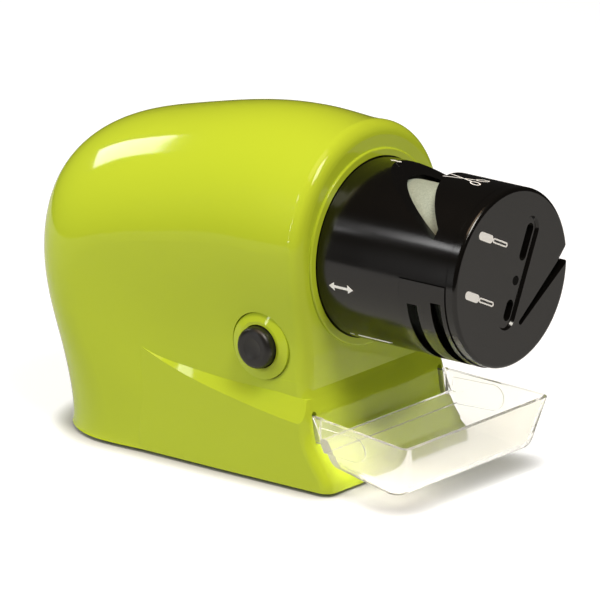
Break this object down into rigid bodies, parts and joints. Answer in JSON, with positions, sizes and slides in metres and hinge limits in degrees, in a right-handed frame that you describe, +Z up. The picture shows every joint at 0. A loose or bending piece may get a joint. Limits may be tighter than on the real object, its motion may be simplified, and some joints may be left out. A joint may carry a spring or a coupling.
{
  "type": "battery knife sharpener",
  "caption": "Rounded battery knife sharpener: a green housing with a side button, a black turning head round a motor-driven grinding wheel, and a clear pull-off tray.",
  "frame": {"origin": "under the middle of the object, on the surface that it stands on", "axes": "+X is the way the head points, +Z is up, and the power button is on the -Y side"},
  "size_m": [0.184, 0.0787, 0.1173],
  "materials": {
    "green_shell": "glossy lime-green moulded ABS",
    "black_gloss": "glossy black moulded ABS",
    "clear_tray": "clear moulded polystyrene",
    "green_base": "fine-textured lime-green ABS",
    "inner_plastic": "dark moulded nylon",
    "abrasive": "fine-grit abrasive",
    "steel": "zinc-plated steel",
    "magnet": "sintered ferrite",
    "contact_metal": "nickel-plated contact strip",
    "cell_wrap": "printed cell sleeve",
    "rubber_foot": "soft black rubber"
  },
  "bodies": {
    "housing_body": {"housing": "green_shell", "base_plate": "green_base", "base_screws": "steel", "feet": "rubber_foot", "motor_can": "steel", "motor_magnets": "magnet", "motor_end_cap": "inner_plastic", "motor_terminals": "contact_metal", "motor_bracket": "inner_plastic", "motor_screws": "steel", "head_carrier": "inner_plastic", "carrier_screws": "steel", "snap_ring": "steel", "arbor_bearing": "steel", "button_bezel": "green_shell", "switch_body": "inner_plastic", "battery_box": "inner_plastic", "battery_cells": "cell_wrap", "contact_plates": "contact_metal", "contact_springs": "contact_metal"},
    "wheel": {"motor_rotor": "steel", "motor_shaft": "steel", "wheel_arbor": "steel", "wheel_hub": "inner_plastic", "grinding_drum": "abrasive", "grinding_disc": "abrasive", "wheel_washer": "steel", "wheel_screw": "steel"},
    "head": {"head_shell": "black_gloss", "head_face": "black_gloss", "face_screw": "steel", "swarf_panel": "black_gloss"},
    "button": {"button_cap": "black_gloss", "switch_plunger": "inner_plastic"},
    "tray": {"catch_tray": "clear_tray"},
    "door": {"battery_door": "green_base"}
  },
  "joints": [
    {"name": "wheel_spin", "type": "hinge", "parent": "housing_body", "child": "wheel", "pos_m": [0, 0, 0.075], "axis": [1, 0, 0], "continuous": true},
    {"name": "head_turn", "type": "hinge", "parent": "housing_body", "child": "head", "pos_m": [0, 0, 0.075], "axis": [1, 0, 0], "range_deg": [-90, 90]},
    {"name": "button_press", "type": "slide", "parent": "housing_body", "child": "button", "axis": [0, 1, 0], "range_m": [0, 0.0025], "stiffness_N_per_m": 500, "springref_m": -0.001},
    {"name": "tray_pull", "type": "slide", "parent": "housing_body", "child": "tray", "axis": [1, 0, 0], "range_m": [0, 0.03]},
    {"name": "door_lift", "type": "slide", "parent": "housing_body", "child": "door", "axis": [0, 0, -1], "range_m": [0, 0.01]}
  ]
}
